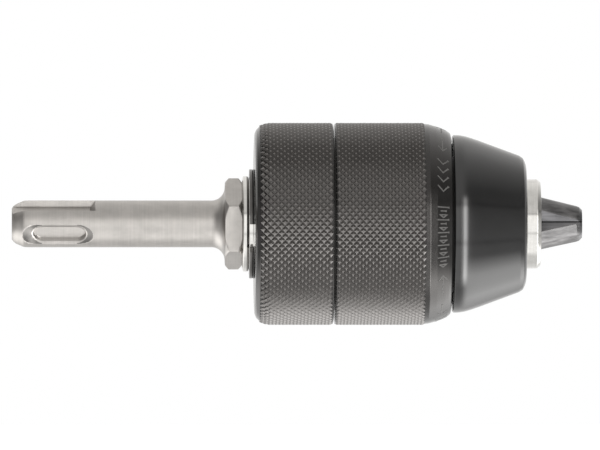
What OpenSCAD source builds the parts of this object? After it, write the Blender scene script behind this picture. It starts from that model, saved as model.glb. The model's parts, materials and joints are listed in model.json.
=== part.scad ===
// Keyless drill chuck on a grooved hammer-drill shank, in millimetres.
// The chuck's axis is +X, towards the jaws. The origin is on that axis, at the middle of the plain
// round length of the shank. The jaws are drawn closed.

/* [Shank] */
// Diameter of the round shank that goes into the hammer drill
shank_d = 10; // [9.8:0.1:10.2]
// Length of shank behind the origin
shank_back = 30; // [29:0.5:34]
// Length of the two open drive grooves, from the shank's end
drive_groove = 17.6; // [14:0.1:17.6]
// Width of a drive groove
drive_groove_w = 4.2; // [3.4:0.1:4.4]
// Size of the hexagon over its flats
hex_af = 17; // [16:0.5:18]

/* [Body] */
// Bore in front of the web, for the bit's own shank
tool_bore_d = 13.4; // [12.5:0.1:13.6]
// Diameter of the threaded end that screws into the body
stud_d = 12.7; // [12:0.1:12.7]
// Diameter of the polished nose of the body
nose_d = 19.1; // [18.6:0.1:19.2]
// Diameter of the polished ring at the back of the body
rear_ring_d = 20.5; // [20.3:0.1:21]

/* [Jaws] */
// Diameter of a jaw
jaw_d = 8; // [7.8:0.1:8]
// Slope of the jaws against the axis, in degrees
jaw_slope = 15; // [15:0.5:15.5]
// Bore left between the closed jaws
grip_d = 1.5; // [1.2:0.1:1.8]
// How far the jaws stand out of the nose when closed
jaw_reach = 8.9; // [8:0.1:9]
// Pitch of the jaw teeth along the jaw
tooth_pitch = 2.0; // [1.9:0.05:2.1]

/* [Sleeves] */
// Diameter over the knurl of both sleeves
sleeve_d = 43.2; // [43:0.1:44]
// Diameter of the nose cover's back edge
cover_d = 37.9; // [37.5:0.1:38]
// Number of balls in the thrust bearing
ball_count = 28; // [16:2:32]

/* [Hidden] */
GUIDE = 0.05;       // play of a jaw in its bore
JAW_AZ = [23, 143, 263];
NOSE_X = 82.9;      // front face of the body
AXIS_R = 1.73;      // distance of a closed jaw's axis from the chuck's axis at NOSE_X
TIP_X = NOSE_X + jaw_reach;
BODY_X = 19.15;     // back face of the body
JAW_LEN = 40;
REAR_SLEEVE = [21.8, 38.6];
FRONT_SLEEVE = [38.95, 63.7];
COVER = [64.1, 79.8];
NUT = [51.9, 60.2];
NUT_R = 17.6;
FLANGE_R = 18.4;
FLANGE_X = 46.5;
BALL_R = 1.1;
BALL_RING_R = 17.15;
BALL_X = FLANGE_X + 1.22 + BALL_R;
TOOTH_DEPTH = 1.1;
PLAY = 0.15;        // play between the nut's ridge and the jaw teeth
LEAD = tooth_pitch * cos(jaw_slope);
MID_X = 56;         // the teeth are concentric with the axis when they pass here
PAWL_AZ = 60;      // the pawl hangs on the first nut half
PIN_R = 17.3;
RATCHET_TEETH = 36;
RATCHET_R = [15.2, 16.2];
HEX_TURN = 7;
GROOVE_AZ = 31;

STEEL = [0.74, 0.73, 0.71];
DARK = [0.30, 0.30, 0.31];
BLACK = [0.12, 0.12, 0.13];
JAW = [0.36, 0.35, 0.34];
BRASS = [0.72, 0.58, 0.30];

// Distance of a closed jaw's axis from the chuck's axis
function axis_r(x) = AXIS_R + tan(jaw_slope) * (NOSE_X - x);
// Distance of the outer side of a closed jaw, and of its tooth roots
function jaw_top(x) = axis_r(x) + jaw_d / 2 / cos(jaw_slope);
function root_r(x) = axis_r(x) + (jaw_d / 2 - TOOTH_DEPTH) / cos(jaw_slope);

// A turned shape: points are [radius, x]
module lathe(points, fn = 96)
    rotate([0, 90, 0])
        rotate_extrude($fn = fn)
            polygon(points);

// A plain ring from x0 to x1
module ring(x0, x1, r0, r1, fn = 96)
    lathe([[r0, x0], [r1, x0], [r1, x1], [r0, x1]], fn);

module rod(x0, x1, r, fn = 64)
    translate([x0, 0, 0])
        rotate([0, 90, 0])
            cylinder(h = x1 - x0, r = r, $fn = fn);

// Places children along the axis of the jaw that points to +Z, z running from the nose to the back
module on_jaw_axis()
    translate([NOSE_X, 0, AXIS_R])
        rotate([0, jaw_slope - 90, 0])
            children();

module jaw_bores(r)
    for (az = JAW_AZ)
        rotate([az, 0, 0])
            on_jaw_axis()
                translate([0, 0, -20])
                    cylinder(h = 90, r = r, $fn = 64);

// ---- Shank and adapter ----

module drive_grooves()
    for (az = [GROOVE_AZ, GROOVE_AZ + 180])
        rotate([az, 0, 0])
            drive_groove_cutter();

// A groove open at the shank's end, with a flat floor and a steep end wall
module drive_groove_cutter() {
    end = drive_groove - shank_back;
    floor_r = 3.4;
    translate([0, drive_groove_w / 2, 0])
        rotate([90, 0, 0])
            linear_extrude(height = drive_groove_w)
                polygon([[-shank_back - 1, floor_r], [end - 1, floor_r], [end + 0.2, 5.4],
                    [-shank_back - 1, 5.4]]);
}

// A steep pocket for the locking ball, with a wide shallow bevel at each end
module ball_grooves()
    for (az = [GROOVE_AZ + 90, GROOVE_AZ + 270])
        rotate([az, 0, 0]) {
            translate([0, 0, 9.35]) {
                rod(-24.6, -16, 5.5, 64);
                for (x = [-24.6, -16])
                    translate([x, 0, 0])
                        sphere(r = 5.5, $fn = 64);
            }
            translate([0, 0, 3.3])
                linear_extrude(height = 3)
                    union() {
                        translate([-23.6, -2.1])
                            square([7.55, 4.2]);
                        for (x = [-23.6, -16.05])
                            translate([x, 0])
                                circle(r = 2.1, $fn = 48);
                    }
        }

module adapter_hexagon() {
    tip = hex_af / 2 / cos(30);
    intersection() {
        rotate([HEX_TURN, 0, 0])
            rod(15.45, 19.1, tip, 6);
        lathe([[0, 15.4], [8.7, 15.4], [tip + 0.1, 16.25], [tip + 0.1, 18.35], [8.9, 19.15], [0, 19.15]]);
    }
}

module sds_adapter()
    color(STEEL)
        difference() {
            union() {
                lathe([[0, -shank_back], [3.3, -shank_back], [3.85, -shank_back + 0.4],
                    [4.2, -shank_back + 0.9], [4.5, -shank_back + 1.55],
                    [4.72, -shank_back + 2.05], [4.92, -shank_back + 2.5],
                    [shank_d / 2, -shank_back + 3], [shank_d / 2, 13], [0, 13]]);
                difference() {
                    ring(12.65, 15.6, 0, 7.8);
                    rotate([0, 90, 0])
                        rotate_extrude($fn = 96)
                            translate([shank_d / 2 + 2.8, 12.65])
                                circle(r = 2.8, $fn = 48);
                }
                adapter_hexagon();
                rod(19, 35.9, stud_d / 2 - 0.35);
                for (x = [20.6:1.27:34.6])
                    lathe([[5, x], [stud_d / 2 - 0.35, x], [stud_d / 2, x + 0.5],
                        [stud_d / 2 - 0.35, x + 1], [5, x + 1]]);
            }
            drive_grooves();
            ball_grooves();
            rod(24, 37, 3.05);
        }

// ---- Body ----

module body_blank()
    lathe([[0, BODY_X], [rear_ring_d / 2 - 0.7, BODY_X], [rear_ring_d / 2, BODY_X + 0.6],
        [rear_ring_d / 2, 20.6], [9.6, 20.6], [9.6, 21.45], [10.1, 21.45], [10.1, 26],
        [14.5, 36], [FLANGE_R, 37.5], [FLANGE_R, FLANGE_X], [14.9, FLANGE_X], [14.9, 51.7],
        [10.5, 51.7], [10.5, 60.4], [14.5, 60.4], [14.5, 65], [12, 67.5], [12, 77.9],
        [nose_d / 2, 77.9], [nose_d / 2, 81.7], [nose_d / 2 - 0.25, 82.4],
        [nose_d / 2 - 0.75, NOSE_X], [0, NOSE_X]]);

module chuck_body()
    color(STEEL)
        difference() {
            body_blank();
            rod(BODY_X - 1, 38.15, stud_d / 2 + 0.1);
            rod(38, 47, 3.25);
            rod(46.9, NOSE_X + 1, tool_bore_d / 2);
            jaw_bores(jaw_d / 2 + GUIDE);
        }

module locking_screw()
    color(DARK)
        difference() {
            union() {
                rod(27, 47.2, 3);
                rod(46.92, 50.9, 4.9);
            }
            rod(48.6, 51.5, 2.5 / cos(30), 6);
        }

// ---- Jaws ----

// The ring-shaped cutter of one tooth gap, concentric with the chuck at MID_X
module tooth_cutter(shift) {
    r = root_r(MID_X);
    // the teeth follow the nut's helix, so each is turned by its lead angle
    translate([MID_X + shift, 0, -shift * tan(jaw_slope)])
        rotate([0, 0, -atan(LEAD / (2 * PI * r))])
            lathe([[r, -0.4], [r + 2.4, -0.95], [r + 2.4, 0.95], [r, 0.4]], 72);
}

module jaw_teeth(az)
    for (i = [-1:12])
        tooth_cutter((az / 360 + i) * LEAD);

module jaw_blank()
    intersection() {
        on_jaw_axis()
            translate([0, 0, -14])
                cylinder(h = JAW_LEN + 14 - jaw_reach / cos(jaw_slope), r = jaw_d / 2, $fn = 64);
        // flat front, with its corners broken
        lathe([[0, 40], [40, 40], [40, 76], [4.2, TIP_X - 2.2], [3.6, TIP_X - 0.6], [3.0, TIP_X], [0, TIP_X]]);
    }

// The space of one jaw: a third of a turn, a hair short of its neighbours
module jaw_sector()
    translate([0, 0, 0.06])
        rotate([0, 90, 0])
            linear_extrude(height = 120)
                polygon([[0, 0], [-20, 20 * tan(60)], [-20, -20 * tan(60)]]);

module jaw(az)
    color(JAW)
        rotate([az, 0, 0])
            difference() {
                intersection() {
                    jaw_blank();
                    jaw_sector();
                }
                rod(60, 100, grip_d / 2, 48);
                for (side = [-1, 1])
                    translate([78, side * 5.06 - 2, -5])
                        cube([20, 4, 20]);
                jaw_teeth(az);
            }

module jaw_1() jaw(JAW_AZ[0]);
module jaw_2() jaw(JAW_AZ[1]);
module jaw_3() jaw(JAW_AZ[2]);

// ---- Split nut with its collar ----

// Section through a nut half at one angle: [x, radius] around it, with its three ridges on the inside
function nut_section(turn, first) = concat(
    [[NUT[0], jaw_top(NUT[0]) + PLAY]],
    [for (k = [first:first + 2])
        let (x = MID_X + LEAD * (turn / 360 + k))
            for (p = [[x - 0.55, jaw_top(x) + PLAY], [x - 0.25, root_r(x) + PLAY],
                [x + 0.25, root_r(x) + PLAY], [x + 0.55, jaw_top(x) + PLAY]])
                p],
    [[NUT[1], jaw_top(NUT[1]) + PLAY], [NUT[1], NUT_R], [NUT[0], NUT_R]]);

// Half a ring with a helical ridge, swept through 180 degrees less a hair at the joint
module nut_half_blank(start, first) {
    steps = 24;
    m = 16;
    angles = [for (i = [0:steps]) start + 0.1 + i * 179.8 / steps];
    points = [for (a = angles)
        for (p = nut_section(a, first))
            [p[0], -p[1] * sin(a), p[1] * cos(a)]];
    sides = [for (i = [0:steps - 1])
        for (k = [0:m - 1])
            let (j = (k + 1) % m, c = m * i, d = m * i + m)
                for (t = [[c + k, c + j, d + j], [c + k, d + j, d + k]])
                    t];
    caps = [[for (k = [m - 1:-1:0]) k], [for (k = [0:m - 1]) m * steps + k]];
    polyhedron(points = points, faces = concat(sides, caps), convexity = 6);
}

module nut_half_a()
    color(BRASS)
        difference() {
            nut_half_blank(0, -1);
            at_pin()
                rod(57.5, 64, 0.66, 32);
        }

module nut_half_b()
    color(BRASS)
        nut_half_blank(180, -2);

module nut_collar()
    color(DARK)
        difference() {
            lathe([[15, 49.96], [18.6, 49.96], [18.6, 60.2], [NUT_R + 0.03, 60.2],
                [NUT_R + 0.03, 51.85], [15, 51.85]]);
            for (az = [30, 150, 270])
                rotate([az, 0, 0])
                    translate([54.9, -1.6, 16])
                        cube([6, 3.2, 4]);
            at_pin()
                rod(57.5, 64, 0.66, 32);
        }

// ---- Thrust bearing ----

module ball_places()
    for (i = [0:ball_count - 1])
        rotate([360 * i / ball_count, 0, 0])
            translate([BALL_X, 0, BALL_RING_R])
                children();

module bearing_balls()
    color(STEEL)
        ball_places()
            sphere(r = BALL_R, $fn = 32);

module ball_cage()
    color(BRASS)
        difference() {
            ring(BALL_X - 0.55, BALL_X + 0.55, 15.6, 18.6);
            ball_places()
                rod(-2, 2, BALL_R + 0.05, 32);
        }

module thrust_washer()
    color(STEEL)
        ring(FLANGE_X + 0.02, FLANGE_X + 1.2, 15.85, 18.3);

// ---- Latch ----

module at_pin()
    rotate([PAWL_AZ, 0, 0])
        translate([0, 0, PIN_R])
            children();

module ratchet_ring()
    color(DARK)
        translate([61, 0, 0])
            rotate([0, 90, 0])
                linear_extrude(height = 1.8)
                    difference() {
                        // turned so that a gap faces the pawl's tip
                        rotate(1.7)
                            polygon([for (i = [0:RATCHET_TEETH - 1])
                                for (p = [[RATCHET_R[1], 0], [RATCHET_R[0], 0.35]])
                                    let (a = 360 * (i + p[1]) / RATCHET_TEETH)
                                        [p[0] * cos(a), p[0] * sin(a)]]);
                        circle(r = 14.53, $fn = 96);
                    }

// Part of a ring round the chuck's axis, width long, beside the pawl's pin
module pawl_piece(r0, r1, far, width)
    intersection() {
        ring(61, 62.7, r0, r1);
        rotate([PAWL_AZ, 0, 0])
            translate([60, -far, 0])
                cube([4, width, 30]);
    }

// A bent lever that hangs from its pin, its tip just over the ratchet teeth
module latch_pawl()
    color(STEEL)
        difference() {
            union() {
                at_pin()
                    rod(61, 62.7, 0.95, 32);
                pawl_piece(16.95, 18.05, 9.8, 9.8);
                pawl_piece(16.4, 18.05, 9.8, 0.8);
            }
            at_pin()
                rod(60, 64, 0.65, 32);
        }

module pawl_pin()
    color(STEEL)
        at_pin()
            rod(57.6, 63, 0.6, 32);

// ---- Sleeves and cover ----

module front_sleeve()
    color(DARK)
        union() {
            lathe([[18.5, FRONT_SLEEVE[0]], [21.3, FRONT_SLEEVE[0]], [sleeve_d / 2, 39.25],
                [sleeve_d / 2, 58.1], [21.38, 58.3], [21.3, 58.9], [21.16, 59.5], [20.87, 60.5],
                [20.5, 61.5], [20.17, 62.3], [19.82, 63], [19.44, 63.5], [19.15, FRONT_SLEEVE[1]],
                [18.5, FRONT_SLEEVE[1]], [18.5, 60.6], [18.75, 60.6], [18.75, 46.3], [18.5, 46.3]]);
            // keys that turn the nut's collar
            for (az = [30, 150, 270])
                rotate([az, 0, 0])
                    translate([55, -1.5, 17.75])
                        cube([5.1, 3, 1.2]);
        }

module rear_sleeve()
    color(DARK)
        lathe([[10.15, REAR_SLEEVE[0]], [19.0, REAR_SLEEVE[0]], [19.95, 22.15], [20.58, 22.58],
            [21.1, 23.4], [sleeve_d / 2 - 0.1, 24.3], [sleeve_d / 2, 25], [sleeve_d / 2, 38.3],
            [21.3, REAR_SLEEVE[1]], [18.5, REAR_SLEEVE[1]], [18.5, 37.7], [20.2, 37.7],
            [20.2, 23.9], [10.15, 23.9]]);

module nose_cover()
    color(BLACK)
        lathe([[17.2, COVER[0]], [cover_d / 2 - 0.2, COVER[0]], [cover_d / 2, 64.4],
            [cover_d / 2, 65.6], [cover_d / 2 - 0.15, 66.7], [cover_d / 2 - 0.45, 67.7],
            [cover_d / 2 - 0.85, 68.8], [14.6, 78.3], [14.25, 79.0], [13.5, 79.6], [12.9, COVER[1]],
            [nose_d / 2 + 0.03, COVER[1]], [nose_d / 2 + 0.03, 77.95], [12.03, 77.95],
            [12.03, 75.6], [14.2, 74.8], [17.2, 66.5]]);

module c_ring(x0, x1, r0, gap)
    difference() {
        ring(x0, x1, r0, 11.65);
        rotate([106, 0, 0])
            translate([x0 - 1, -gap / 2, 0])
                cube([3, gap, 20]);
    }

module retaining_ring()
    color(DARK)
        c_ring(20.72, 21.35, 9.65, 6);

module spring_washer()
    color(DARK)
        c_ring(21.42, 21.75, 10.15, 6);

sds_adapter();
chuck_body();
locking_screw();
jaw_1();
jaw_2();
jaw_3();
nut_half_a();
nut_half_b();
nut_collar();
bearing_balls();
ball_cage();
thrust_washer();
ratchet_ring();
latch_pawl();
pawl_pin();
front_sleeve();
rear_sleeve();
nose_cover();
retaining_ring();
spring_washer();
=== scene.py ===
# %% [markdown]
# # A keyless drill chuck on a hammer-drill shank
# The chuck lies along X: the grooved shank points to -X, the three jaws point to +X, and Z is up.
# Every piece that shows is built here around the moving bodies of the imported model, in metres.
# Sizes below are written in millimetres, because that is how a turner reads a chuck, and `MM` turns
# them into metres at the last moment.

# %% Load the frame
import json
from math import atan2, ceil, cos, degrees, hypot, pi, radians, sin, sqrt, tan

import bmesh
import bpy
from mathutils import Matrix, Vector

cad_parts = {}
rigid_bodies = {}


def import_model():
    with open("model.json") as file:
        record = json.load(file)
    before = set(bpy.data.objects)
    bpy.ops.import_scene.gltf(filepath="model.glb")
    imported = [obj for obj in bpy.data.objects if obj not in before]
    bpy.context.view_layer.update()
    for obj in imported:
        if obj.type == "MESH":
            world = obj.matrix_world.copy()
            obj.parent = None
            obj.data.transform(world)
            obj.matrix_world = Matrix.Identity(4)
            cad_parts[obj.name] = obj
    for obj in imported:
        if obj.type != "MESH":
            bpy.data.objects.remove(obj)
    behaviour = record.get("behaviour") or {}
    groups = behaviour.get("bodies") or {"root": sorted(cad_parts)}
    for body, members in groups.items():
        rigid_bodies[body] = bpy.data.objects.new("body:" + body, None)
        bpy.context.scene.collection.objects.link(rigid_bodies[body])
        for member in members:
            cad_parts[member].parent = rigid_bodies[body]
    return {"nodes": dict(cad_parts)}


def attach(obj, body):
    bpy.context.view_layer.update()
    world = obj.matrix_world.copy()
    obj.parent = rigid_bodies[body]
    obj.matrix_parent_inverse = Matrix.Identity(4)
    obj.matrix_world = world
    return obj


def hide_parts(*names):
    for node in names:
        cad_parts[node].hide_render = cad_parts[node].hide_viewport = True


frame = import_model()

MM = 0.001
bpy.context.view_layer.update()

# %% [markdown]
# ## Writing shaders as sums
# A finish is a small formula: "bright, but a little darker where the noise is high". Node graphs hide
# such formulas, so one class wraps a socket and lets Python's own + - * / build the Math nodes.
# Plain numbers are worked out in Python, and a node is only added when a socket takes part.

# %% A wrapped socket
class Wire:
    """One value that varies over a surface."""

    def __init__(self, tree, socket):
        self.tree, self.socket = tree, socket

    def math(self, operation, *others):
        return node(self.tree, "ShaderNodeMath", {"operation": operation}, (self, *others))

    def __add__(self, other):
        return self.math("ADD", other)

    def __sub__(self, other):
        return self.math("SUBTRACT", other)

    def __rsub__(self, other):
        return self * -1.0 + other

    def __mul__(self, other):
        return self.math("MULTIPLY", other)

    def __truediv__(self, other):
        return self.math("DIVIDE", other)

    __radd__, __rmul__ = __add__, __mul__

    def ramp(self, low, high, start=0.0, end=1.0):
        """Goes from start to end as the value goes from low to high, and stays there outside."""
        return node(self.tree, "ShaderNodeMapRange", {"clamp": True},
                    {"Value": self, "From Min": low, "From Max": high, "To Min": start, "To Max": end})


def node(tree, kind, settings=None, inputs=None, output=0):
    """Adds a node: settings first, then its sockets, by name or by position."""
    made = tree.nodes.new(kind)
    for key, value in (settings or {}).items():
        setattr(made, key, value)
    pairs = inputs.items() if isinstance(inputs, dict) else enumerate(inputs or ())
    for key, value in pairs:
        if isinstance(value, Wire):
            tree.links.new(value.socket, made.inputs[key])
        elif value is not None:
            made.inputs[key].default_value = value
    return Wire(tree, made.outputs[output])


def mix_colour(tree, amount, a, b):
    """Blends two colours, each a wire or three numbers."""
    made = tree.nodes.new("ShaderNodeMix")
    made.data_type = "RGBA"
    for key, value in ((0, amount), (6, a), (7, b)):
        if isinstance(value, Wire):
            tree.links.new(value.socket, made.inputs[key])
        else:
            made.inputs[key].default_value = (*value, 1) if key else value
    return Wire(tree, made.outputs[2])


def along(tree, stretch):
    """The piece's own coordinates, in metres, stretched on each axis."""
    here = node(tree, "ShaderNodeTexCoord", output=3)
    return node(tree, "ShaderNodeMapping", {}, {"Vector": here, "Scale": stretch})


def noise(tree, stretch, detail=2.0, roughness=0.5):
    """Noise with this many cells in a metre along each axis."""
    return node(tree, "ShaderNodeTexNoise", {},
                {"Vector": along(tree, stretch), "Scale": 1.0, "Detail": detail,
                 "Roughness": roughness})


tree_owner = {}


def finish(colour, roughness, metallic=1.0, bump=None, strength=0.2, depth=0.00002, **rest):
    """Ends a material: colour and roughness may vary, and bump is a height from 0 to 1."""
    tree = colour.tree
    shader = tree.nodes["Principled BSDF"]
    shader.inputs["Metallic"].default_value = metallic
    for key, value in (("Base Color", colour), ("Roughness", roughness)):
        tree.links.new(value.socket, shader.inputs[key])
    for key, value in rest.items():
        shader.inputs[key.replace("_", " ").title().replace("Ior", "IOR")].default_value = value
    if bump is not None:
        relief = node(tree, "ShaderNodeBump", {},
                      {"Strength": strength, "Distance": depth, "Height": bump})
        tree.links.new(relief.socket, shader.inputs["Normal"])
    return tree_owner[tree.as_pointer()]


def new_material(name):
    made = bpy.data.materials.new(name)
    made.use_nodes = True
    tree_owner[made.node_tree.as_pointer()] = made
    return made.node_tree


# %% [markdown]
# ## Turned steel
# The shank, the hexagon and the body are turned and then ground. Grinding leaves fine rings round the
# axis, so the noise is stretched: thousands of cells in a metre along X and only a few across it.
# The rings change the roughness more than the colour, which is what makes satin steel glitter in
# bands as it turns in the light. The slanted ends of the ball grooves get a darker steel of their own,
# which is painted shade: those ramps turn away from the light.

# %% Ground steel
def ground_steel(name, tone, shine, rings=0.10, blotch=0.06):
    tree = new_material(name)
    fine = noise(tree, (9000, 90, 90), 3.0)
    wide = noise(tree, (260, 420, 420), 3.0, 0.6)
    pits = noise(tree, (2600, 2600, 2600), 1.0)
    dark = tuple(c * 0.80 for c in tone)
    colour = mix_colour(tree, (fine * 0.45 + wide * 0.55).ramp(0.35, 0.65), dark, tone)
    rough = shine + (fine - 0.5) * rings * 2 + (wide - 0.5) * blotch * 2
    return finish(colour, rough, bump=fine * 0.7 + pits * 0.3, strength=0.08)


shank_steel = ground_steel("shank_steel", (0.50, 0.48, 0.458), 0.38, 0.07, 0.05)
# a dark steel that stands for shade: painted shade on the slanted ends of the ball grooves
groove_steel = ground_steel("groove_steel", (0.20, 0.193, 0.185), 0.42, 0.07, 0.05)
body_steel = ground_steel("body_steel", (0.72, 0.71, 0.685), 0.13, 0.04, 0.02)

# %% [markdown]
# ## Phosphated knurl
# Both sleeves are knurled and then phosphated, which leaves a dull, slightly warm charcoal skin. Hands
# rub the tops of the diamonds, so they are a shade lighter and smoother than the grooves. The knurl
# itself is real geometry: each diamond carries an attribute `crest`, 1 on its flat top and 0 elsewhere,
# and the material only reads it.

# %% Phosphate
def phosphate(name, tone, worn, shine, ior):
    tree = new_material(name)
    crest = node(tree, "ShaderNodeAttribute", {"attribute_name": "crest"}, output=2)
    grain = noise(tree, (5200, 5200, 5200), 3.0, 0.65)
    cloud = noise(tree, (240, 240, 240), 3.0, 0.6)
    skin = mix_colour(tree, (grain * 0.6 + cloud * 0.4).ramp(0.35, 0.65),
                      tuple(c * 0.6 for c in tone), tone)
    colour = mix_colour(tree, crest * cloud.ramp(0.3, 0.7, 0.3, 1.0), skin, worn)
    rough = (grain - 0.5) * 0.16 + (cloud - 0.5) * 0.08 + shine - crest * 0.04
    return finish(colour, rough, metallic=0.0, bump=grain, strength=0.12, ior=ior,
                  specular_tint=(1.0, 0.965, 0.94, 1.0))


sleeve_skin = phosphate("sleeve_phosphate", (0.019, 0.0165, 0.0148), (0.046, 0.0415, 0.038), 0.25, 2.12)
band_skin = phosphate("band_phosphate", (0.010, 0.0098, 0.0095), (0.01, 0.01, 0.01), 0.17, 1.55)

# %% [markdown]
# ## Glossy black
# The nose cover and the smooth band of the front sleeve are polished before they are blackened, so
# they mirror the room. A strong gloss over a nearly black base gives that: dark face on, bright at a
# glancing angle. Faint rings from the polishing wheel and a few dull patches keep it from looking like
# plastic.

# %% Blackened, polished steel
def gloss_black(name, tone, shine):
    tree = new_material(name)
    wheel = noise(tree, (5200, 60, 60), 3.0)
    patch = noise(tree, (120, 160, 160), 3.0, 0.6)
    colour = mix_colour(tree, patch.ramp(0.35, 0.65), tuple(c * 0.7 for c in tone), tone)
    rough = (wheel - 0.5) * 0.05 + (patch - 0.5) * 0.05 + shine
    return finish(colour, rough, metallic=0.0, bump=wheel, strength=0.03, ior=1.64)


cover_black = gloss_black("cover_black", (0.010, 0.010, 0.0102), 0.15)

# %% [markdown]
# ## Jaw steel and the hidden pieces
# The jaws are hardened and ground along their length, so their lines run down the jaw, not round the
# chuck. The edges where two jaws meet are painted nearly black: painted shade for the narrow gap between
# them. The pieces inside are seldom seen, yet
# each gets its own metal: blackened spring steel, brass for the ball cage, turned steel for the nut.

# %% Other metals
JAW_AZ = (23, 143, 263)


def seam_shade(tree):
    """0 along the three half planes where two jaws meet, 1 from a fifth of a millimetre away: the mask of
    the painted shade in the gap.
    """
    here = node(tree, "ShaderNodeTexCoord", output=3)
    nearest = None
    for azimuth in JAW_AZ:
        a = radians(azimuth + 60)
        off = node(tree, "ShaderNodeVectorMath", {"operation": "DOT_PRODUCT"},
                   (here, (0, cos(a), sin(a))), 1).math("ABSOLUTE")
        behind = node(tree, "ShaderNodeVectorMath", {"operation": "DOT_PRODUCT"},
                      (here, (0, -sin(a), cos(a))), 1).math("LESS_THAN", 0.0)
        # the opposite half plane runs through the middle of a jaw, so it is pushed out of reach
        off = off + behind
        nearest = off if nearest is None else nearest.math("MINIMUM", off)
    return nearest.ramp(0.08 * MM, 0.20 * MM)


def plain_metal(name, tone, shine, stretch, metallic=1.0, strength=0.15, paint_seam_shade=False,
                depth=0.78):
    tree = new_material(name)
    lines = noise(tree, stretch, 3.0)
    cloud = noise(tree, (300, 300, 300), 2.0)
    colour = mix_colour(tree, (lines * 0.6 + cloud * 0.4).ramp(0.35, 0.65),
                        tuple(c * depth for c in tone), tone)
    if paint_seam_shade:
        # a near-black line along the edges where jaws meet: painted shade in the gap
        colour = mix_colour(tree, seam_shade(tree), (0.02, 0.02, 0.02), colour)
    rough = shine + (lines - 0.5) * 0.16 + (cloud - 0.5) * 0.08
    return finish(colour, rough, metallic=metallic, bump=lines, strength=strength)


jaw_steel = plain_metal("jaw_steel", (0.185, 0.182, 0.183), 0.34, (150, 1500, 1500), paint_seam_shade=True,
                        depth=0.40)
jaw_flat = plain_metal("jaw_flat_steel", (0.225, 0.223, 0.23), 0.30, (200, 1700, 1700),
                       strength=0.3, paint_seam_shade=True, depth=0.55)
spring_steel = plain_metal("spring_steel", (0.055, 0.054, 0.052), 0.34, (4000, 200, 200))
washer_steel = plain_metal("washer_steel", (0.15, 0.145, 0.14), 0.30, (4000, 200, 200))
nut_steel = plain_metal("nut_steel", (0.45, 0.43, 0.40), 0.36, (5000, 150, 150))
cage_brass = plain_metal("cage_brass", (0.66, 0.50, 0.22), 0.33, (900, 900, 900))
mark_grey = plain_metal("mark_grey", (0.125, 0.122, 0.118), 0.5, (2500, 2500, 2500), 0.0, 0.3)
print("materials:", len(tree_owner))

# %% [markdown]
# ## Turned pieces
# A lathe makes nearly everything here, and so does the script: a profile of (x, radius) corners is
# swept round X. No real edge is perfectly sharp, and it is the small break on each edge that catches
# the light, so every corner may carry a fillet radius. Two extra points close to each fillet keep the
# flats flat when the mesh is shaded smooth.

# %% Fillets and the lathe
def filleted(corners, steps=4):
    """Corners are (x, radius[, fillet]); returns the profile with each fillet as an arc."""
    out = []
    count = len(corners)
    for i, corner in enumerate(corners):
        here = Vector(corner[:2])
        want = corner[2] if len(corner) > 2 else 0.0
        if not want or i in (0, count - 1):
            out.append(tuple(here))
            continue
        back = Vector(corners[i - 1][:2]) - here
        ahead = Vector(corners[(i + 1) % count][:2]) - here
        half = back.angle(ahead) / 2
        if half > radians(88):
            out.append(tuple(here))
            continue
        cut = min(want / tan(half), back.length * 0.45, ahead.length * 0.45)
        want = cut * tan(half)
        back.normalize()
        ahead.normalize()
        centre = here + (back + ahead).normalized() * (want / sin(half))
        a, b = here + back * cut, here + ahead * cut
        out.append(tuple(a + back * cut * 0.12))
        for k in range(steps + 1):
            point = a.lerp(b, k / steps) - centre
            out.append(tuple(centre + point.normalized() * want))
        out.append(tuple(b + ahead * cut * 0.12))
    return out


def new_piece(name, bm, material, smooth=True):
    """Turns a bmesh in mm into an object in metres, at the origin."""
    bmesh.ops.remove_doubles(bm, verts=bm.verts, dist=1e-5)
    bmesh.ops.recalc_face_normals(bm, faces=bm.faces)
    for v in bm.verts:
        v.co *= MM
    for face in bm.faces:
        face.smooth = smooth
    mesh = bpy.data.meshes.new(name)
    bm.to_mesh(mesh)
    bm.free()
    mesh.materials.append(material)
    made = bpy.data.objects.new(name, mesh)
    bpy.context.scene.collection.objects.link(made)
    return made


def turned(bm, profile, segments=192, start=0.0, sweep=360.0, closed=True):
    """Sweeps (x, r) points round X. Azimuth 0 points to +Z and 90 to -Y."""
    full = sweep >= 360
    rings = []
    for k in range(segments if full else segments + 1):
        a = radians(start + sweep * k / segments)
        rings.append([bm.verts.new((x, -r * sin(a), r * cos(a))) for x, r in profile])
    pairs = len(profile) if closed else len(profile) - 1
    for k in range(segments):
        here, there = rings[k], rings[(k + 1) % len(rings)]
        for j in range(pairs):
            i = (j + 1) % len(profile)
            quad = [here[j], here[i], there[i], there[j]]
            bm.faces.new(quad)
    if not full and closed:
        bm.faces.new(rings[0])
        bm.faces.new(rings[-1])


def lathe_piece(name, corners, material, segments=192, **rest):
    bm = bmesh.new()
    turned(bm, filleted(corners), segments, **rest)
    return new_piece(name, bm, material)


def crisp(piece, angle=32):
    """Shades smooth, except across edges sharper than this."""
    mesh = piece.data
    bm = bmesh.new()
    bm.from_mesh(mesh)
    for edge in bm.edges:
        flat = len(edge.link_faces) == 2 and edge.calc_face_angle(0) < radians(angle)
        edge.smooth = flat
    for face in bm.faces:
        face.smooth = True
    bm.to_mesh(mesh)
    bm.free()


# %% [markdown]
# ## The shank
# The shank is a 10 mm round bar with two pairs of grooves. The open pair takes the drive keys, the
# closed pair takes the locking balls, and a fillet leads to a 17 mm hexagon for a spanner. Cutting
# these with booleans leaves ragged triangles along every rim. Seen from the axis, though, each ray
# meets the surface once, so the whole piece is a radius that depends on the angle and on x. A grid
# wrapped round the axis, with extra columns where a groove's wall or a corner of the hexagon lies, gives
# clean rims that can be softened by blending the radii instead of by cutting.

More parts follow.
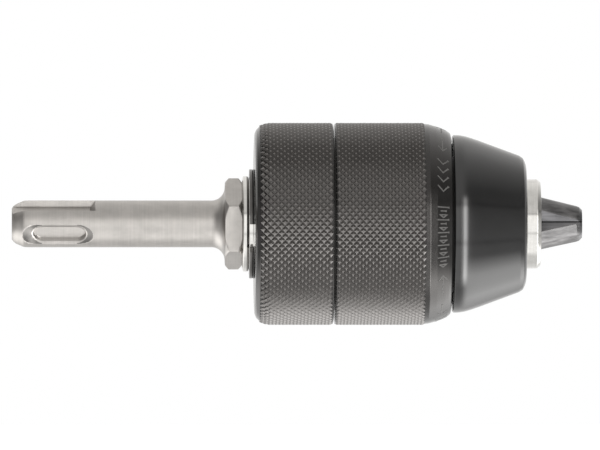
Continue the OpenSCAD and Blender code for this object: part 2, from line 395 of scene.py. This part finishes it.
# %% The shank's radius
SHANK_END = -30.0
NOSE_OUTLINE = [(-30, 3.3), (-29.85, 3.52), (-29.6, 3.83), (-29.35, 4.04), (-29.1, 4.2),
                (-28.8, 4.36), (-28.45, 4.5), (-28.15, 4.63), (-27.95, 4.72), (-27.75, 4.82),
                (-27.5, 4.91), (-27.25, 4.955), (-27, 4.98), (-26.4, 5.0)]
DRIVE_AZ, BALL_AZ = 31.0, 121.0
HEX_AF, HEX_AZ = 17.0, 7.0


def soft_min(a, b, width):
    """The smaller of two lengths, rounded where they meet."""
    h = max(width - abs(a - b), 0.0) / width
    return min(a, b) - h * h * width / 4


def near(angle, centre):
    """The signed difference of two azimuths, in degrees."""
    return (angle - centre + 180) % 360 - 180


def bar_radius(x):
    """The turned outline before the grooves: rounded end, plain round, fillet."""
    for (x0, r0), (x1, r1) in zip(NOSE_OUTLINE, NOSE_OUTLINE[1:]):
        if x <= x1:
            return r0 + (r1 - r0) * (x - x0) / (x1 - x0)
    t = min(max(x - 12.65, 0.0) / 2.8, 1.0)
    return 5.0 + 2.8 * (1 - sqrt(1 - t * t))


def drive_groove(angle, x):
    """Flat floor, upright walls, a sloping end: the radius it leaves."""
    best = 9.0
    for centre in (DRIVE_AZ, DRIVE_AZ + 180):
        d = abs(near(angle, centre))
        if d < 40:
            level = 3.4 / cos(radians(min(d, 25)))
            wall = level + max(d - 24.0, 0) * 1.7
            rise = 3.4 + max(x + 13.35, 0) * 1.3
            best = min(best, max(wall, rise))
    return best


def ball_groove(angle, x):
    """A steep pocket for the ball, and a wide shallow bevel past each of its ends."""
    best = 9.0
    for centre in (BALL_AZ, BALL_AZ + 180):
        d = radians(near(angle, centre))
        if abs(d) > radians(36):
            continue
        past = max(-24.6 - x, x + 16.0, 0.0)
        inside = 5.5 ** 2 - past ** 2 - (9.35 * sin(d)) ** 2
        if past < 5.5 and inside > 0:
            best = min(best, 9.35 * cos(d) - sqrt(inside))
        edge = hypot(max(-23.6 - x, x + 16.05, 0.0), 4.9 * sin(d)) - 2.1
        if edge < 0.3:
            floor_r = 3.3 / cos(d)
            wall = 3.3 + max(edge + 0.42, 0.0) * 4.2
            best = soft_min(best, -soft_min(-floor_r, -wall, 0.35), 0.12)
    return best


def hexagon(angle, x):
    """The spanner collar, chamfered on both sides."""
    d = (angle - HEX_AZ + 30) % 60 - 30
    across = HEX_AF / 2 / cos(radians(30 - abs(d)))
    cone = min(8.75 + (x - 15.45) * 1.28, 8.9 + (19.1 - x) * 1.28)
    return soft_min(across, cone, 0.14)


def adapter_radius(angle, x):
    if x <= 15.45:
        r = soft_min(bar_radius(x), drive_groove(angle, x), 0.12)
        return soft_min(r, ball_groove(angle, x), 0.12)
    return hexagon(angle, x)


# %% [markdown]
# The grid's rows crowd where the outline turns: at the rounded end, the ends of the grooves, the fillet
# and both chamfers of the hexagon. Its columns crowd at the walls of the drive grooves and at the six
# corners. The threaded stud behind the hexagon sits inside the body, as plain turned steps.

# %% The shank's grid
def spread(*spans):
    """Numbers over spans of (start, end, step), without repeats."""
    out = []
    for a, b, step in spans:
        n = max(1, round((b - a) / step))
        out += [a + (b - a) * k / n for k in range(n + 1)]
    out = sorted(out)
    return [v for i, v in enumerate(out) if i == 0 or v - out[i - 1] > 1e-4]


rows = spread((-30, -23, 0.10), (-23, -17, 0.5), (-17, -11.9, 0.08), (-11.9, 12.5, 1.2),
              (12.5, 15.44, 0.1), (15.45, 16.8, 0.07), (16.8, 17.9, 0.3), (17.9, 19.1, 0.07))
columns = list(range(0, 360, 2))
for centre in (DRIVE_AZ, BALL_AZ, DRIVE_AZ + 180, BALL_AZ + 180):
    for side in (-1, 1):
        columns += [centre + side * (20 + 0.5 * k) for k in range(26)]
for corner in range(6):
    columns += [HEX_AZ + 30 + 60 * corner + d for d in (-1.2, -0.5, 0, 0.5, 1.2)]
columns = sorted({round(c % 360, 3) for c in columns})
columns = [c for i, c in enumerate(columns) if i == 0 or c - columns[i - 1] > 0.2]

bm = bmesh.new()
grid = [[(x, adapter_radius(a, x)) for a in columns] for x in rows]
stud = [(19.1, 5.9), (35.6, 5.9), (35.9, 5.5)]
grid += [[(x, r)] * len(columns) for x, r in stud]
lines = [[bm.verts.new((x, -r * sin(radians(a)), r * cos(radians(a))))
          for (x, r), a in zip(row, columns)] for row in grid]
for near_row, far_row in zip(lines, lines[1:]):
    for j in range(len(columns)):
        i = (j + 1) % len(columns)
        bm.faces.new((near_row[j], near_row[i], far_row[i], far_row[j]))
for row, x in ((lines[0], SHANK_END), (lines[-1], 35.9)):
    # a centre drilling, then a fan
    inner = [bm.verts.new((x, v.co.y * 0.25, v.co.z * 0.25)) for v in row]
    dip = bm.verts.new((x + (0.6 if x < 0 else -0.6), 0, 0))
    for j in range(len(columns)):
        i = (j + 1) % len(columns)
        bm.faces.new((row[j], row[i], inner[i], inner[j]))
        bm.faces.new((inner[j], inner[i], dip))
shank = new_piece("sds_shank", bm, shank_steel)
# the second slot paints shade on the sloping ramps past each ball pocket
shank.data.materials.append(groove_steel)
for face in shank.data.polygons:
    x, y, z = face.center / MM
    turned_from = near(degrees(atan2(-y, z)), BALL_AZ + (180 if y > 0 else 0))
    past_pocket = max(-23.6 - x, x + 16.05)
    rim = hypot(max(past_pocket, 0.0), 4.9 * sin(radians(turned_from))) - 2.1
    if (-29 < x < -10 and past_pocket > 0 and rim > 0.1 and abs(turned_from) < 33
            and hypot(y, z) < bar_radius(x) - 0.04):
        face.material_index = 1
crisp(shank, 34)
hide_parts("sds_adapter")
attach(shank, "body")
print("shank:", len(rows), "rows,", len(columns), "columns,", len(shank.data.polygons), "faces")

# %% [markdown]
# ## The body
# Behind the rear sleeve and in front of the nose cover, a polished ring of the body shows. The rest is
# inside, but the three slanted jaw bores and the long tool bore can be seen as soon as the jaws open.
# The outline is turned, then the bores are cut with a Boolean modifier, which suits a few big round
# cuts well, and the cutters are thrown away.

# %% Cut the body
SLOPE = 15
NOSE_X, JAW_AXIS_R = 82.9, 1.73


def jaw_axis_point(azimuth, along_axis):
    """A point on a jaw's own axis: 0 in the nose's plane, positive to the back."""
    x = NOSE_X - along_axis * cos(radians(SLOPE))
    r = JAW_AXIS_R + along_axis * sin(radians(SLOPE))
    a = radians(azimuth)
    return Vector((x, -r * sin(a), r * cos(a)))


def cylinder_between(bm, start, end, radius, sides=96):
    direction = end - start
    turn = direction.to_track_quat("Z", "Y").to_matrix().to_4x4()
    place = Matrix.Translation((start + end) / 2) @ turn
    bmesh.ops.create_cone(bm, cap_ends=True, segments=sides, radius1=radius, radius2=radius,
                          depth=direction.length, matrix=place)


def cut(piece, cutter):
    """Subtracts cutter from piece and keeps the result as a plain mesh."""
    modifier = piece.modifiers.new("cut", "BOOLEAN")
    modifier.operation, modifier.solver, modifier.object = "DIFFERENCE", "EXACT", cutter
    view = bpy.context.evaluated_depsgraph_get()
    mesh = bpy.data.meshes.new_from_object(piece.evaluated_get(view))
    piece.modifiers.clear()
    piece.data = mesh
    bpy.data.objects.remove(cutter)


body_corners = [(19.15, 0), (19.15, 9.6, 0.1), (19.4, 10.2, 0.15), (20.08, 10.25, 0.2),
                (20.5, 10.05, 0.15), (20.6, 9.6, 0.1), (20.62, 9.55, 0.05), (21.45, 9.6, 0.05),
                (21.45, 10.1, 0.08), (26, 10.1, 0.3), (36, 14.5, 0.3), (37.5, 18.4, 0.2),
                (46.5, 18.4, 0.2), (46.5, 14.9, 0.1), (51.7, 14.9, 0.1), (51.7, 10.5, 0.1),
                (60.4, 10.5, 0.1), (60.4, 14.5, 0.2), (65, 14.5, 0.3), (67.5, 12, 0.3),
                (77.9, 12, 0.2), (77.9, 9.55, 0.05), (82.15, 9.55, 0.35), (NOSE_X, 8.95, 0.3),
                (NOSE_X, 0)]
bm = bmesh.new()
turned(bm, filleted(body_corners), 160, closed=False)
body = new_piece("chuck_body_turned", bm, body_steel)

for azimuth in JAW_AZ:
    bm = bmesh.new()
    cylinder_between(bm, jaw_axis_point(azimuth, -18), jaw_axis_point(azimuth, 60), 4.08)
    cut(body, new_piece("cutter", bm, body_steel))
for start, end, radius in ((18, 38.15, 6.5), (38, 47, 3.25), (46.9, 84, 6.7)):
    bm = bmesh.new()
    cylinder_between(bm, Vector((start, 0, 0)), Vector((end, 0, 0)), radius)
    cut(body, new_piece("cutter", bm, body_steel))
# the middle of the body, seen only through the narrow gap between the sleeves, gets the dark spring steel:
# painted shade in that gap
body.data.materials.append(spring_steel)
for face in body.data.polygons:
    if 0.026 < face.center.x < 0.068 and hypot(face.center.y, face.center.z) > 0.0101:
        face.material_index = 1
crisp(body, 30)
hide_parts("chuck_body")
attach(body, "body")
print("body:", len(body.data.polygons), "faces")

# %% [markdown]
# ## Retaining ring and spring washer
# Between the polished ring and the rear sleeve lies a snap ring, open at one side so that it can be
# sprung into its groove, and a thin washer behind it. Each is a turned section swept through a bit less
# than a full turn, and its two cut ends face each other across the gap.

# %% Two split rings
GAP_AZ, GAP = 106.0, 31.0
for name, node_name, corners, metal in (
        ("snap_ring", "retaining_ring",
         [(20.72, 9.65), (20.72, 11.65, 0.12), (21.35, 11.65, 0.12), (21.35, 9.65)], washer_steel),
        ("split_washer", "spring_washer",
         [(21.42, 10.15), (21.42, 11.65, 0.06), (21.74, 11.65, 0.06), (21.74, 10.15)], spring_steel)):
    ring = lathe_piece(name, corners, metal, 160, start=GAP_AZ + GAP / 2, sweep=360 - GAP)
    crisp(ring, 40)
    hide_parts(node_name)
    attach(ring, "body")

# %% [markdown]
# ## Knurling
# A knurl is rolled: two families of slanting grooves cross and leave diamonds in between. Drawing it as
# bump would leave a smooth outline, and it is exactly the outline and the glancing light that give a
# knurl away. So each diamond is a real four-sided frustum, and Geometry Nodes sets them out: one point
# for each diamond, every other row shifted by half a step, turned to stand on the cylinder. On the
# rear sleeve the first rows follow the curve of the lip, as the real rolled pattern runs into it.

# %% The knurling tree
def knurl_tree():
    tree = bpy.data.node_groups.new("knurl", "GeometryNodeTree")
    face = tree.interface
    face.new_socket("Geometry", in_out="OUTPUT", socket_type="NodeSocketGeometry")
    face.new_socket("Geometry", in_out="INPUT", socket_type="NodeSocketGeometry")
    for name, kind, value in (("Around", "Int", 90), ("Rows", "Int", 20), ("First Row", "Float", 0.0),
                              ("Row Step", "Float", 0.00075), ("First Angle", "Float", 0.0),
                              ("Root Radius", "Float", 0.021), ("Height", "Float", 0.0004),
                              ("Flat Top", "Float", 0.3), ("Lip", "Float", 0.0),
                              ("Lip Curve", "Float", 140.0), ("Unevenness", "Float", 0.08),
                              ("Skin", "Material", None)):
        made = face.new_socket(name, in_out="INPUT", socket_type="NodeSocket" + kind)
        if value is not None:
            made.default_value = value
    given, out = tree.nodes.new("NodeGroupInput"), tree.nodes.new("NodeGroupOutput")
    asked = {s.name: Wire(tree, s) for s in given.outputs if s.name}

    # one point for each diamond, and its row and its place in the row
    count = asked["Around"] * asked["Rows"]
    dots = node(tree, "GeometryNodeMeshLine", {}, {"Count": count})
    index = node(tree, "GeometryNodeInputIndex")
    row = ((index + 0.5) / asked["Around"]).math("FLOOR")
    place = index - row * asked["Around"] + row.math("MODULO", 2.0) * 0.5
    angle = place / asked["Around"] * (2 * pi) + asked["First Angle"]
    x = asked["First Row"] + row * asked["Row Step"]
    # behind the lip's start the pattern follows a parabola inwards
    past = (asked["Lip"] - x).math("MAXIMUM", 0.0)
    radius = asked["Root Radius"] - past * past * asked["Lip Curve"]
    spot = node(tree, "ShaderNodeCombineXYZ", {}, (
        x, angle.math("SINE") * radius * -1.0, angle.math("COSINE") * radius))
    moved = node(tree, "GeometryNodeSetPosition", {}, {"Geometry": dots, "Position": spot})

    # the diamond: a four-sided frustum, as long along X as two rows are apart
    cone = tree.nodes.new("GeometryNodeMeshCone")
    cone.fill_type = "NGON"
    cone.inputs["Vertices"].default_value = 4
    for key, value in (("Radius Bottom", asked["Row Step"]),
                       ("Radius Top", asked["Row Step"] * asked["Flat Top"]),
                       ("Depth", asked["Height"])):
        tree.links.new(value.socket, cone.inputs[key])
    flat = node(tree, "GeometryNodeSetShadeSmooth", {},
                {"Geometry": Wire(tree, cone.outputs["Mesh"]), "Shade Smooth": False})
    top = node(tree, "GeometryNodeSwitch", {"input_type": "FLOAT"},
               (Wire(tree, cone.outputs["Top"]), 0.0, 1.0))
    crest = node(tree, "GeometryNodeStoreNamedAttribute", {"data_type": "FLOAT", "domain": "FACE"},
                 {"Geometry": flat, "Name": "crest", "Value": top})
    # its width round the cylinder follows from the number in a row, and no two are quite as high
    width = asked["Root Radius"] * (2 * pi) / asked["Around"] / asked["Row Step"] * 0.5
    height = node(tree, "FunctionNodeRandomValue", {"data_type": "FLOAT"},
                  {2: 1.0 - asked["Unevenness"], 3: 1.0, "Seed": 11}, output=1)
    size = node(tree, "ShaderNodeCombineXYZ", {}, (1.0, width, height))
    turn = node(tree, "ShaderNodeCombineXYZ", {}, (angle, 0.0, 0.0))
    stamped = node(tree, "GeometryNodeInstanceOnPoints", {},
                   {"Points": moved, "Instance": crest, "Rotation": turn, "Scale": size})
    real = node(tree, "GeometryNodeRealizeInstances", {}, {"Geometry": stamped})
    skinned = node(tree, "GeometryNodeSetMaterial", {}, {"Geometry": real, "Material": asked["Skin"]})
    joined = tree.nodes.new("GeometryNodeJoinGeometry")
    tree.links.new(skinned.socket, joined.inputs[0])
    tree.links.new(asked["Geometry"].socket, joined.inputs[0])
    tree.links.new(joined.outputs[0], out.inputs[0])
    return tree


knurl = knurl_tree()


def apply_tree(piece, tree, **values):
    """Runs a tree on a piece and keeps what comes out as its plain mesh."""
    modifier = piece.modifiers.new("tree", "NODES")
    modifier.node_group = tree
    for socket in tree.interface.items_tree:
        key = socket.name.replace(" ", "_").lower()
        if key in values:
            modifier[socket.identifier] = values[key]
    view = bpy.context.evaluated_depsgraph_get()
    view.update()
    mesh = bpy.data.meshes.new_from_object(piece.evaluated_get(view))
    piece.modifiers.clear()
    piece.data = mesh
    return len(mesh.polygons)


# %% [markdown]
# ## The sleeves
# The rear sleeve is pressed on the body and is what the left hand holds. Its back edge is a smooth
# rounded lip, and the first rows of diamonds fade out on that curve. The front sleeve turns the nut: a
# knurled grip with a slightly finer pattern, then a smooth band that curves in towards the nose. Each
# sleeve is turned with the knurl's roots as its middle, and the diamonds are stamped on after that.

# %% Turn and knurl the sleeves
CREST_R, ROOT_R = 21.58, 21.33


def knurled(piece, around, first, step, rows_wanted, turn, lip=0.0):
    """Stamps rows of diamonds, the first centred on x = first, in mm."""
    faces = apply_tree(piece, knurl, around=around, rows=rows_wanted, first_row=first * MM,
                       row_step=step * MM, first_angle=radians(turn), root_radius=(ROOT_R - 0.01) * MM,
                       height=(CREST_R - ROOT_R + 0.01) * MM, flat_top=0.32, lip=lip * MM,
                       skin=sleeve_skin)
    print(piece.name, "has", around * rows_wanted, "diamonds and", faces, "faces")


rear_corners = [(21.8, 10.15), (21.8, 18.3, 0.3), (21.86, 19.3, 0.8), (22.2, 20.1, 0.9),
                (22.75, 20.66, 0.5), (22.98, 20.76, 0.06), (23.05, 20.62, 0.03), (23.9, 20.98, 0.4),
                (24.8, ROOT_R, 0.6), (38.25, ROOT_R, 0.03), (38.27, 21.45, 0.03),
                (38.42, 21.45, 0.08), (38.6, 21.25, 0.05), (38.6, 18.5), (37.7, 18.5), (37.7, 20.2),
                (23.9, 20.2), (23.9, 10.15)]
rear = lathe_piece("rear_sleeve_grip", rear_corners, band_skin, 240)
crisp(rear, 40)
knurled(rear, 88, 23.5475, 0.7475, 20, 3.245, lip=25.2)
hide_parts("rear_sleeve")
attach(rear, "body")

front_corners = [(38.95, 18.5), (38.95, 21.25, 0.05), (39.13, 21.45, 0.08), (39.28, 21.45, 0.03),
                 (39.3, ROOT_R, 0.03), (57.95, ROOT_R, 0.03), (57.98, 21.40, 0.05),
                 (58.95, 21.29, 1.4), (60.5, 20.86, 2.5), (61.5, 20.48, 3.0),
                 (62.3, 20.14, 2.0), (63.0, 19.78, 1.2), (63.5, 19.42, 0.5), (63.7, 19.1, 0.15),
                 (63.7, 18.5), (60.6, 18.5), (60.6, 18.75), (46.3, 18.75), (46.3, 18.5)]
bm = bmesh.new()
turned(bm, filleted(front_corners, 6), 240)
front = new_piece("front_sleeve_grip", bm, band_skin)
crisp(front, 40)
knurled(front, 90, 39.62, 0.7152, 26, 0.0)
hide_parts("front_sleeve")
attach(front, "drive")

# %% [markdown]
# ## Marks on the smooth band
# Rolled into the smooth band of a chuck like this are signs that say which way to turn it. Plain arrows,
# chevrons, bars and triangles do that job here. Each stroke is a thin ribbon that follows the curve of
# the band, a few hundredths of a millimetre proud of it, so it catches the light as a rolled sign does.
# A stroke is a list of (azimuth, x) corners; its sides are offset on the unrolled band and wrapped back.

# %% Draw the marks
band_line = sorted(p for p in filleted(front_corners, 6) if 57.99 < p[0] < 63.6 and p[1] > 19.2)
BAND_R, STROKE, PROUD = 20.4, 0.15, 0.035


def band_radius(x):
    for (x0, r0), (x1, r1) in zip(band_line, band_line[1:]):
        if x <= x1:
            return r0 + (r1 - r0) * (x - x0) / max(x1 - x0, 1e-6)
    return band_line[-1][1]


def stroke(bm, corners, closed=False):
    """Wraps one ribbon round the band, from (azimuth, x) corners."""
    flat = [Vector((radians(a) * BAND_R, x)) for a, x in corners]
    points, count = [], len(flat)
    for i in range(count if closed else count - 1):
        a, b = flat[i], flat[(i + 1) % count]
        pieces = max(1, ceil((b - a).length / 0.35))
        points += [a.lerp(b, k / pieces) for k in range(pieces)]
    if not closed:
        points.append(flat[-1])
    rings = []
    for i, here in enumerate(points):
        back = points[i - 1] if i or closed else here
        ahead = points[(i + 1) % len(points)] if closed or i < len(points) - 1 else here
        one, two = (here - back), (ahead - here)
        one, two = (one or two).normalized(), (two or one).normalized()
        way = (one + two).normalized()
        side = Vector((-way.y, way.x)) * STROKE / max(way.dot(two), 0.5)
        ring = []
        for shift, lift in ((-1, -0.03), (-0.8, PROUD), (0.8, PROUD), (1, -0.03)):
            spot = here + side * shift
            a, r = spot.x / BAND_R, band_radius(spot.y) + lift
            ring.append(bm.verts.new((spot.y, -r * sin(a), r * cos(a))))
        rings.append(ring)
    for i in range(len(rings) if closed else len(rings) - 1):
        here, there = rings[i], rings[(i + 1) % len(rings)]
        for j in range(4):
            bm.faces.new((here[j], here[(j + 1) % 4], there[(j + 1) % 4], there[j]))
    if not closed:
        bm.faces.new(rings[0])
        bm.faces.new(rings[-1])


def arrow(bm, start, end, both=False):
    stroke(bm, [(start, 61.65), (end, 61.65)])
    way = 1 if end > start else -1
    tips = [(end, way)] + ([(start, -way)] if both else [])
    for tip, toward in tips:
        stroke(bm, [(tip - 3.2 * toward, 60.7), (tip + 0.4 * toward, 61.65),
                    (tip - 3.2 * toward, 62.6)])


bm = bmesh.new()
for third in (0, 120, 240):
    arrow(bm, third + 27, third + 40)
    for step in range(4):
        at = third + 48 + 6.2 * step
        stroke(bm, [(at, 60.5), (at + 3.6, 61.65), (at, 62.8)])
    for step in range(5):
        at = third + 80 + 7.6 * step
        stroke(bm, [(at, 60.4), (at, 62.9)])
        stroke(bm, [(at + 2.3, 61.0), (at + 2.3, 62.3)])
        stroke(bm, [(at + 4.6, 60.9), (at + 6.2, 61.65), (at + 4.6, 62.4)], closed=True)
    arrow(bm, third + 138, third + 123)
marks = new_piece("band_marks", bm, mark_grey, smooth=False)
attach(marks, "drive")
print("marks:", len(marks.data.polygons), "faces")

# %% [markdown]
# ## The nose cover
# A smooth, polished cap closes the front. Its outline is a gentle cone with a soft shoulder behind and
# a small rounded lip at the front. The shoulder must be a true curve, because a glossy surface shows
# every kink as a broken reflection, so its corners carry large fillets.

# %% Turn the cover
cover_corners = [(64.1, 17.2), (64.1, 18.75, 0.1), (64.35, 18.98, 0.2), (65.3, 18.97, 3.0),
                 (65.9, 18.90, 3.0), (66.3, 18.83, 3.0), (66.7, 18.745, 3.0), (67.2, 18.62, 4.0),
                 (68.2, 18.32, 6.0), (69.6, 17.85, 9.0), (78.35, 14.62, 1.2), (79.15, 14.1, 0.6),
                 (79.55, 13.35, 0.3), (79.8, 12.6, 0.3), (79.8, 9.62, 0.1), (77.95, 9.62),
                 (77.95, 12.03), (75.6, 12.03), (74.8, 14.2), (66.5, 17.2)]
bm = bmesh.new()
turned(bm, filleted(cover_corners, 8), 240)
cover = new_piece("nose_cover_shell", bm, cover_black)
crisp(cover, 40)
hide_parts("nose_cover")
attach(cover, "body")

# %% [markdown]
# ## Finishing the carried-over pieces
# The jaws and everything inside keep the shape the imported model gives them, because it is exact to a few
# hundredths of a millimetre. Only their skins change. A small table says which metal each one gets.

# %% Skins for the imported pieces
SKINS = {"locking_screw": spring_steel, "thrust_washer": body_steel, "ratchet_ring": spring_steel,
         "latch_pawl": washer_steel, "pawl_pin": body_steel, "nut_half_a": nut_steel,
         "nut_half_b": nut_steel, "nut_collar": spring_steel, "bearing_balls": body_steel,
         "ball_cage": cage_brass, "jaw_1": jaw_steel, "jaw_2": jaw_steel, "jaw_3": jaw_steel}
for name, metal in SKINS.items():
    frame["nodes"][name].data.materials[0] = metal

for number, azimuth in enumerate(JAW_AZ, 1):
    jaw = frame["nodes"]["jaw_%d" % number]
    jaw.data.materials.append(jaw_flat)
    start = jaw_axis_point(azimuth, 0)
    line = (jaw_axis_point(azimuth, 10) - start).normalized()
    ground = 0
    for face in jaw.data.polygons:
        offset = face.center / MM - start
        if (offset - line * offset.dot(line)).length < 3.9:
            face.material_index = 1
            ground += 1
    print("jaw", number, "has", ground, "ground faces")

# %% [markdown]
# ## Light, floor and camera
# A chuck is mostly mirror, so the room matters more than the lamps. The room here is a bright sweep in
# front and below, and a calmer grey above. The floor is pale and plain, and lies a little way below the
# chuck, which is held by its shank as in a display. The camera stands far back with a long lens, level
# with the axis.

# %% The room
# Each direction of the room is seen by the camera in one slope of the chuck's surface. `across` is
# how far that slope leans to the right and `up` how far it leans upwards, both from -1 to 1.
scene = bpy.context.scene
world = bpy.data.worlds.new("room")
world.use_nodes = True
scene.world = world
tree = world.node_tree
tree.nodes.clear()
way = node(tree, "ShaderNodeTexCoord", output=0)
x, y, z = (node(tree, "ShaderNodeSeparateXYZ", {}, {"Vector": way}, output=k) for k in range(3))
length = ((1.0 - y) * 2.0).math("MAXIMUM", 0.002).math("SQRT")
across, up = x / length, z / length

# straight ahead: grey above, white from a quarter up to two thirds down, then dimmer
middle = (up.ramp(0.24, 0.20, 0.80, 1.35) - up.ramp(-0.62, -0.72, 0.0, 0.5)
          + up.ramp(0.7, 0.95, 0.0, 0.3))
# to the sides: nearly dark ahead, a grey sky, and a bright floor that starts lower on the right
right = across.ramp(-0.1, 0.1)
low = up.ramp(-0.26, -0.42, 0.0, 1.6) * (1.0 - right) + up.ramp(-0.36, -0.56, 0.0, 3.0) * right
sides = (up.ramp(0.38, 0.80, 0.28, 1.15) + up.ramp(0.25, -0.20, 0.0, 0.45)
         + low - up.ramp(-0.62, -0.85, 0.0, 0.8))
beside = across.math("ABSOLUTE").ramp(0.15, 0.27)
# a tall narrow softbox just right of the camera, and two thin dark joints across the white
strip = (across.ramp(0.15, 0.185) * across.ramp(0.265, 0.225)
         * up.ramp(0.32, 0.20) * up.ramp(-0.70, -0.58))
gaps = (1.0 - up.ramp(0.185, 0.205) * up.ramp(0.245, 0.225) * 0.5
        - up.ramp(-0.25, -0.225) * up.ramp(-0.175, -0.20) * 0.32)
SOFTBOX = 7.0
shade = (middle + (sides - middle) * beside) * gaps + strip * gaps * SOFTBOX
backdrop = y.ramp(0.5, 0.85)
shade = shade + (1.0 - shade) * backdrop

warm = mix_colour(tree, z.ramp(-0.2, 0.5), (1.0, 0.995, 0.985), (1.0, 0.985, 0.965))
room = node(tree, "ShaderNodeBackground", {}, {"Color": warm, "Strength": shade})
white = node(tree, "ShaderNodeBackground", {}, {"Color": (1, 1, 1, 1), "Strength": 1.0})
both = node(tree, "ShaderNodeMixShader", {}, (node(tree, "ShaderNodeLightPath"), room, white))
tree.links.new(both.socket, tree.nodes.new("ShaderNodeOutputWorld").inputs["Surface"])

scene.view_settings.view_transform = "Standard"
scene.view_settings.look = "None"

# %% The floor
FLOOR_Z = -66.0
bm = bmesh.new()
bmesh.ops.create_grid(bm, x_segments=8, y_segments=8, size=1600)
for v in bm.verts:
    v.co.z = FLOOR_Z
floor_skin = bpy.data.materials.new("pale_floor")
floor_skin.use_nodes = True
shader = floor_skin.node_tree.nodes["Principled BSDF"]
shader.inputs["Base Color"].default_value = (0.80, 0.80, 0.80, 1)
shader.inputs["Roughness"].default_value = 0.8
shader.inputs["Emission Color"].default_value = (1, 1, 1, 1)
shader.inputs["Emission Strength"].default_value = 0.75
floor_piece = new_piece("studio_floor", bm, floor_skin)
floor_piece.visible_glossy = False

# %% The camera
WATCHED, DISTANCE, TURN = (31.57, 0, -0.24), 3000, radians(1.14)
camera = bpy.data.cameras.new("camera")
camera.lens, camera.sensor_width = 842.4, 36.0
camera.clip_start, camera.clip_end = 0.1, 50
eye = bpy.data.objects.new("camera", camera)
eye.location = (Vector(WATCHED) - Vector((sin(TURN), cos(TURN), 0)) * DISTANCE) * MM
eye.rotation_euler = (radians(90), 0, -TURN)
scene.collection.objects.link(eye)
scene.camera = eye

# %% [markdown]
# ## Last step
# The view layer is brought up to date once more.

# %% Finish
bpy.context.view_layer.update()
